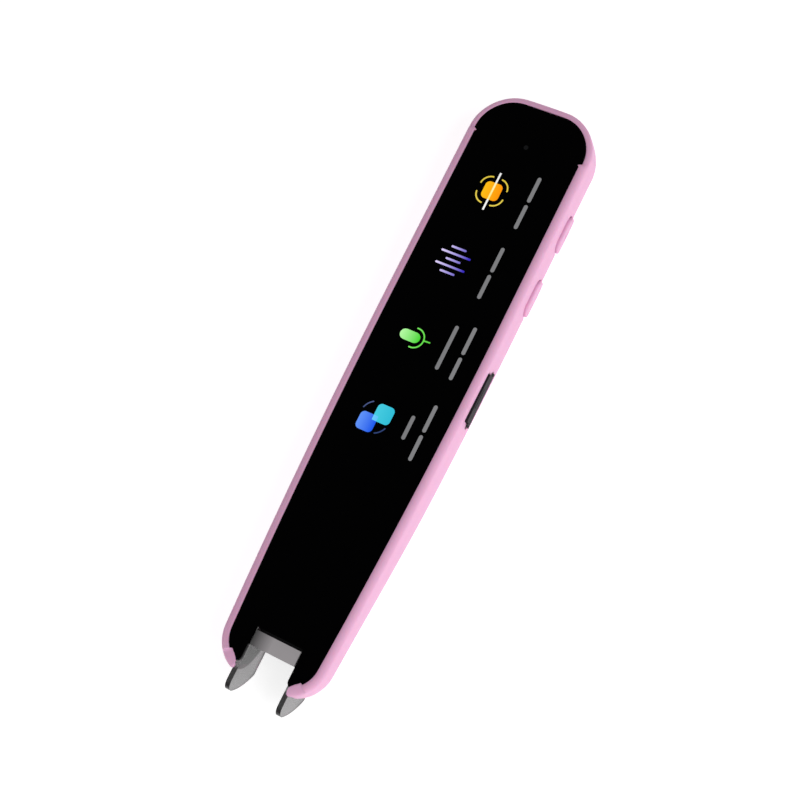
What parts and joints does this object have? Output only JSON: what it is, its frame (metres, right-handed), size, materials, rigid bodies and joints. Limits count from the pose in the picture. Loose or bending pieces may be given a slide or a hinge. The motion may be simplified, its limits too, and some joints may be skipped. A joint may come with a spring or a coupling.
{
  "type": "handheld translator",
  "caption": "Slim handheld scanning translator in a soft sleeve, with a glass front, two side keys, a hinged port cover and a clear sprung scanning fork at its tip.",
  "frame": {"origin": "centre of the flat back face of the sleeve, midway along the sleeved body and midway across it", "axes": "+Y towards the speaker end, -Y towards the scanning fork, +Z out of the screen, +X towards the side with the keys and the port"},
  "size_m": [0.0322, 0.1542, 0.0136],
  "materials": {
    "sleeve_silicone": "matte soft touch",
    "housing_plastic": "fine matte",
    "frame_plastic": "fine matte",
    "cover_glass": "polished, black printed behind",
    "display_panel": "polished",
    "backlight": "white film",
    "flex_film": "amber film",
    "board_laminate": "solder mask",
    "shield_metal": "stamped",
    "chip_package": "moulded",
    "connector_plastic": "moulded",
    "battery_pouch": "foil pouch",
    "adhesive_foam": "foam",
    "speaker_frame": "moulded",
    "speaker_mesh": "woven dust mesh",
    "receptacle_steel": "drawn shell",
    "cover_plastic": "fine matte",
    "pin_steel": "ground",
    "key_silicone": "matte soft touch",
    "plunger_plastic": "moulded",
    "microphone_can": "plated",
    "smoked_clear": "polished smoked clear",
    "spring_steel": "wire",
    "window_black": "polished infrared-pass black",
    "lens_glass": "polished",
    "led_resin": "resin",
    "screw_steel": "zinc plated"
  },
  "bodies": {
    "device": {"silicone_sleeve": "sleeve_silicone", "rear_housing": "housing_plastic", "front_frame": "frame_plastic", "cover_glass": "cover_glass", "lcd_panel": "display_panel", "backlight_unit": "backlight", "display_flex": "flex_film", "main_board": "board_laminate", "processor_shield": "shield_metal", "memory_chips": "chip_package", "board_connectors": "connector_plastic", "battery": "battery_pouch", "battery_pad": "adhesive_foam", "battery_protection_board": "board_laminate", "speaker_driver": "speaker_frame", "speaker_box": "speaker_frame", "speaker_mesh": "speaker_mesh", "usb_receptacle": "receptacle_steel", "usb_tongue": "chip_package", "port_cover_pin": "pin_steel", "key_switches": "shield_metal", "key_flex": "flex_film", "microphone": "microphone_can", "microphone_boot": "adhesive_foam", "fork_springs": "spring_steel", "tip_switch": "plunger_plastic", "scan_window": "window_black", "camera_barrel": "housing_plastic", "camera_lens": "lens_glass", "camera_board": "board_laminate", "led_board": "board_laminate", "scan_leds": "led_resin", "radio_antenna": "flex_film", "housing_screws": "screw_steel"},
    "power_key": {"power_key_pad": "key_silicone", "power_key_plunger": "plunger_plastic"},
    "home_key": {"home_key_pad": "key_silicone", "home_key_plunger": "plunger_plastic"},
    "port_door": {"port_cover": "cover_plastic"},
    "fork": {"scan_fork": "smoked_clear", "fork_plunger": "plunger_plastic"}
  },
  "joints": [
    {"name": "power_key_press", "type": "slide", "parent": "device", "child": "power_key", "axis": [-1, 0, 0], "range_m": [0, 0.0004], "stiffness_N_per_m": 300},
    {"name": "home_key_press", "type": "slide", "parent": "device", "child": "home_key", "axis": [-1, 0, 0], "range_m": [0, 0.0004], "stiffness_N_per_m": 300},
    {"name": "fork_press", "type": "slide", "parent": "device", "child": "fork", "axis": [0, 1, 0], "range_m": [0, 0.0005], "stiffness_N_per_m": 300, "deforming": ["fork_springs"]},
    {"name": "port_cover_hinge", "type": "hinge", "parent": "device", "child": "port_door", "pos_m": [0.0155, 0.00415, 0.00802], "axis": [0, 1, 0], "range_deg": [0, 100]}
  ]
}
